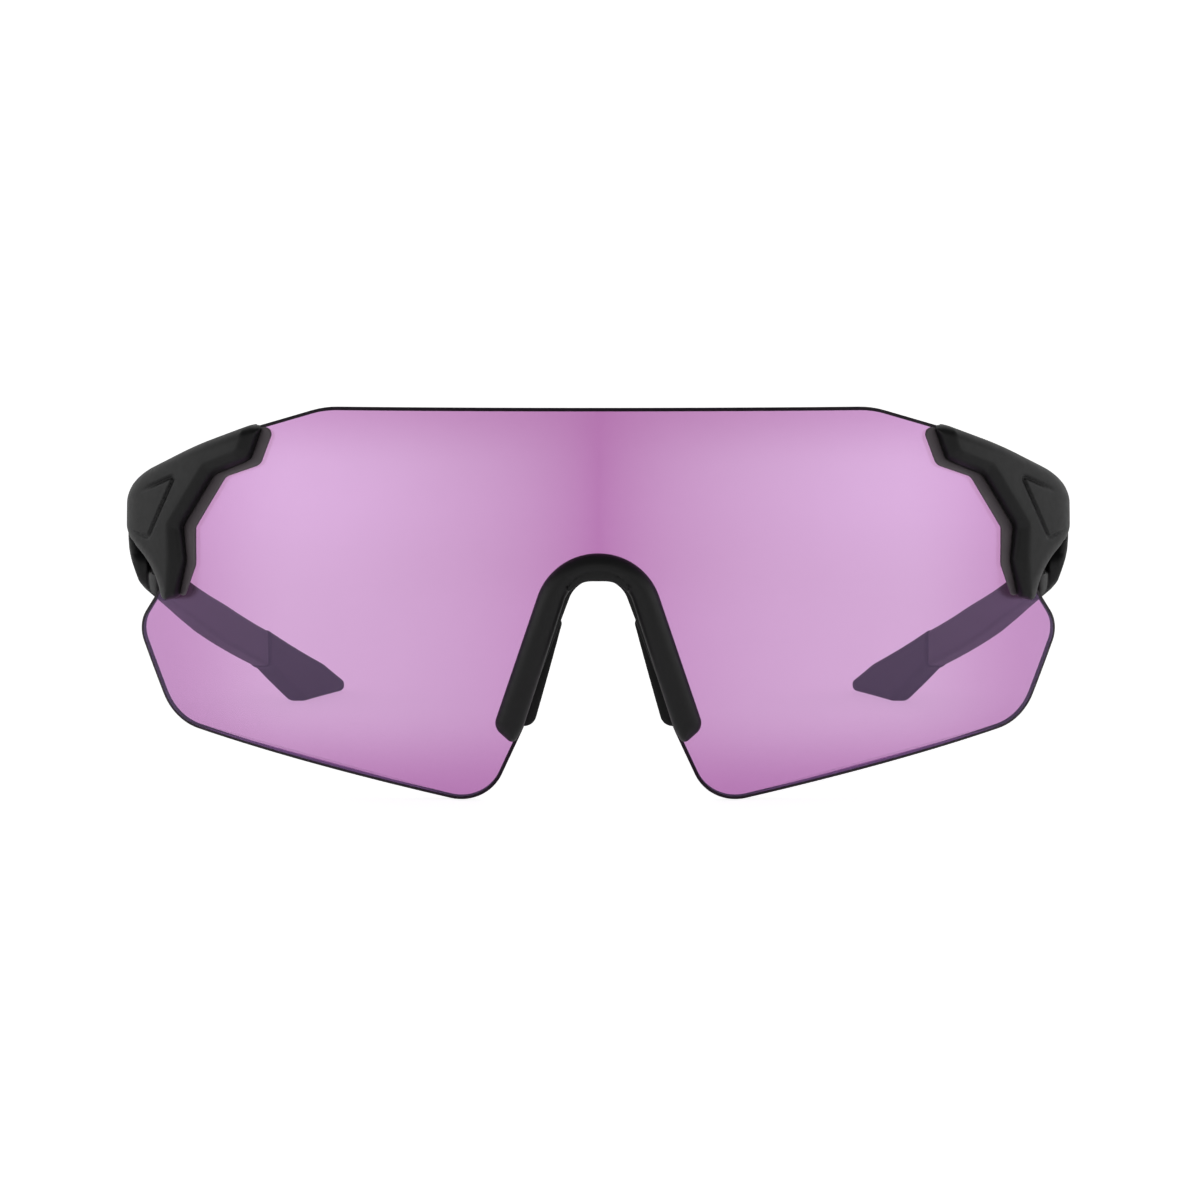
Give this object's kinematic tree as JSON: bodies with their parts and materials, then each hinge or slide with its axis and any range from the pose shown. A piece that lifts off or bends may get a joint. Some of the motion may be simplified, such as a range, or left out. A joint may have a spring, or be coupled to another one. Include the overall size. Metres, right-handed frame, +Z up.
{
  "type": "wraparound sport sunglasses",
  "caption": "Wraparound sport sunglasses: a one-piece violet mirrored shield lens with a nose notch, black end brackets and slim folding temples with rubber tips.",
  "frame": {"origin": "on the mid plane, at the height of the table that the open glasses stand on, halfway between the nose bead's front and the temple tips' ends", "axes": "+X to the wearer's left, -Y the way the wearer looks, +Z up; the open glasses stand on z = 0"},
  "size_m": [0.146, 0.1688, 0.0572],
  "materials": {
    "violet_lens": "polished polycarbonate with a violet mirror coat",
    "black_nylon": "fine matte",
    "grey_rubber": "soft satin",
    "white_nylon": "natural nylon",
    "black_rubber": "soft matte",
    "steel": "turned stainless",
    "brass": "turned"
  },
  "bodies": {
    "front": {"lens": "violet_lens", "nose_frame": "black_nylon", "left_nose_pad": "black_rubber", "left_bracket": "black_nylon", "left_lens_gasket": "grey_rubber", "left_lens_clip": "black_nylon", "left_clip_screws": "steel", "left_lens_sleeves": "white_nylon", "left_clip_inserts": "brass", "left_hinge_screw": "steel", "left_hinge_insert": "brass", "right_nose_pad": "black_rubber", "right_bracket": "black_nylon", "right_lens_gasket": "grey_rubber", "right_lens_clip": "black_nylon", "right_clip_screws": "steel", "right_lens_sleeves": "white_nylon", "right_clip_inserts": "brass", "right_hinge_screw": "steel", "right_hinge_insert": "brass"},
    "left_temple": {"left_temple": "black_nylon", "left_temple_core": "steel", "left_temple_tip": "black_rubber"},
    "right_temple": {"right_temple": "black_nylon", "right_temple_core": "steel", "right_temple_tip": "black_rubber"}
  },
  "joints": [
    {"name": "left_temple_fold", "type": "hinge", "parent": "front", "child": "left_temple", "pos_m": [0.066, -0.03554, 0.0365], "axis": [0, 0, 1], "range_deg": [0, 92]},
    {"name": "right_temple_fold", "type": "hinge", "parent": "front", "child": "right_temple", "pos_m": [-0.066, -0.03554, 0.0365], "axis": [0, 0, -1], "range_deg": [0, 84]}
  ]
}
